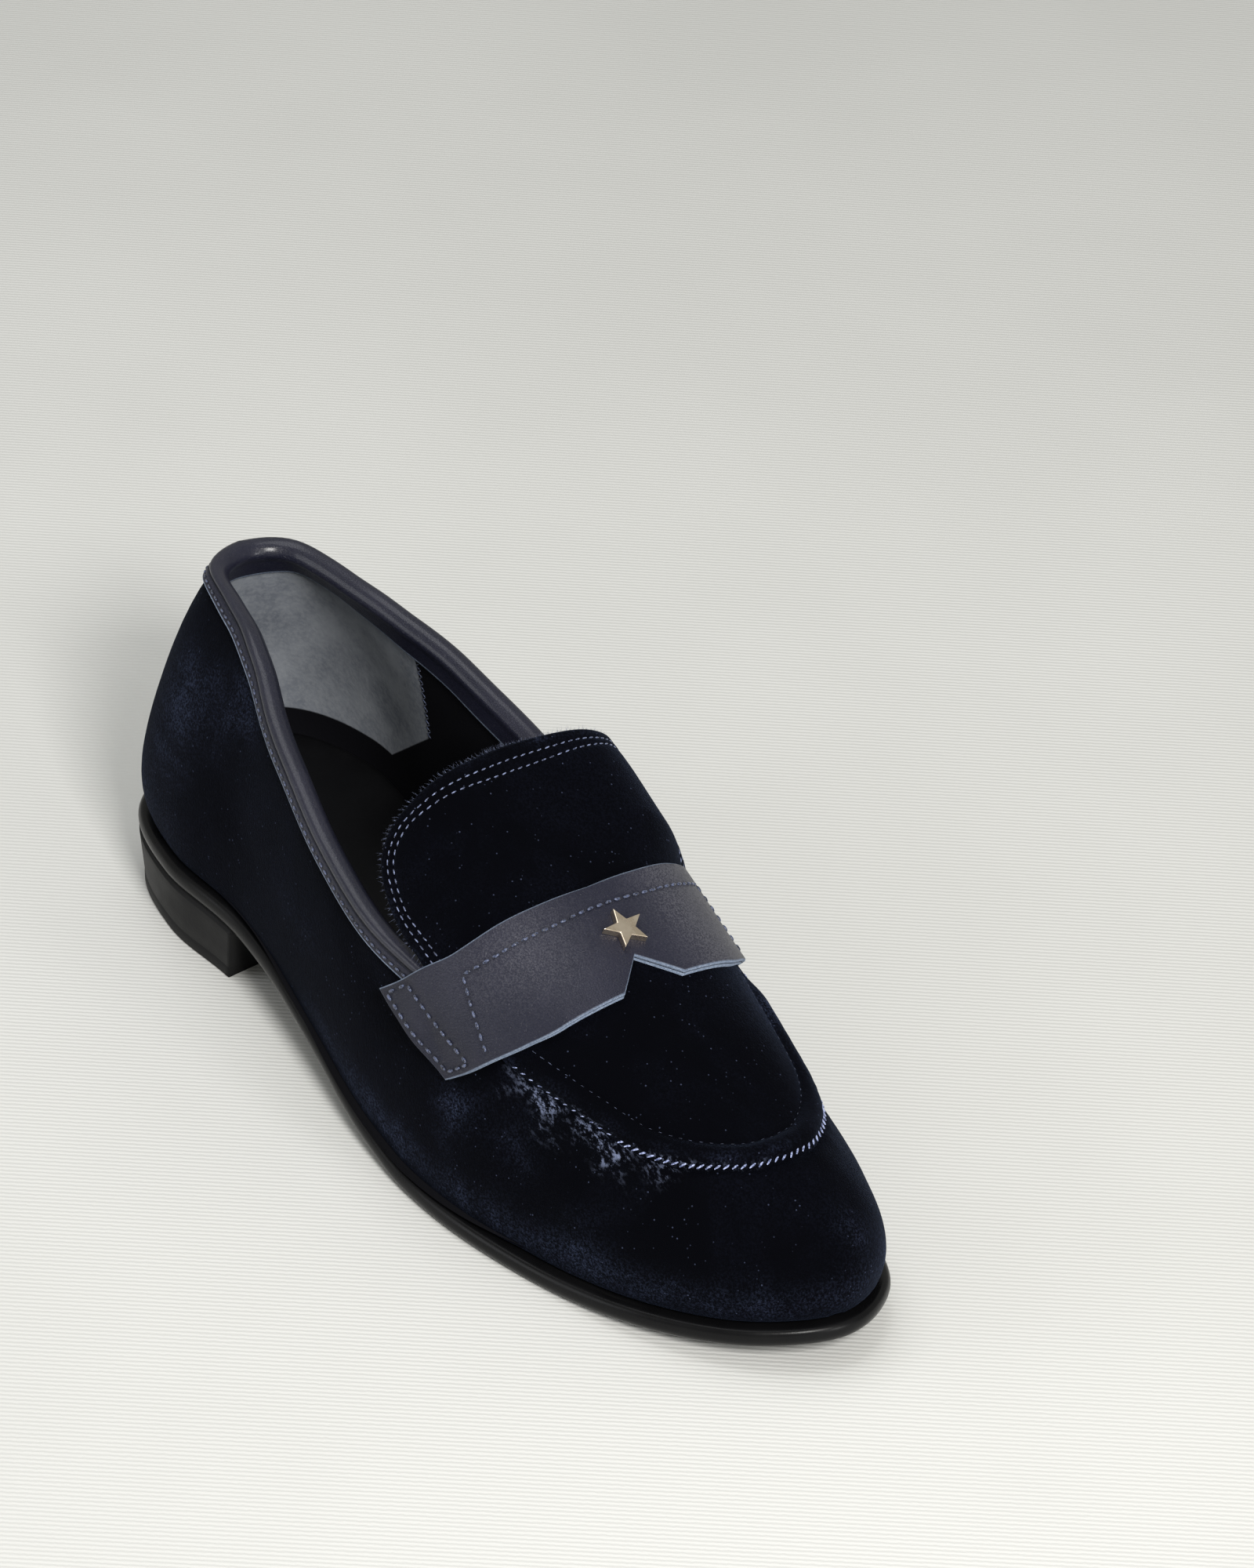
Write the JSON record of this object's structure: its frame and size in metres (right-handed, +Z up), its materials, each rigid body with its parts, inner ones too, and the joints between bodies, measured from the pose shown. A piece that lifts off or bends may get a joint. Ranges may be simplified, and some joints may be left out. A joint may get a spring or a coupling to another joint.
{
  "type": "slipper loafer",
  "caption": "Low-heeled pointed slipper loafer for the right foot: velvet upper, rolled apron seam, high round tongue, leather-bound collar, notched leather strap with a star stud",
  "frame": {"origin": "centre of the heel block's flat base, on the floor under the middle of the heel", "axes": "+X from heel to toe along the length, +Y to the inner side of the right foot, +Z up from the floor"},
  "size_m": [0.2494, 0.0813, 0.0891],
  "materials": {
    "velvet": "deep navy cut-pile velvet with a blue sheen at grazing angles",
    "trim_leather": "smooth slate-navy leather, satin, with lighter blue-grey raw edges",
    "sole_leather": "black leather outsole, edge dyed black and lightly waxed",
    "heel_black": "matte black heel block",
    "insole_leather": "smooth black leather sock, satin",
    "star_metal": "polished pale champagne gold"
  },
  "bodies": {
    "root": {"outsole": "sole_leather", "heel_block": "heel_black", "insole": "insole_leather", "upper": "velvet", "apron_tongue": "velvet", "collar_binding": "trim_leather", "strap": "trim_leather", "star_stud": "star_metal"}
  },
  "joints": []
}
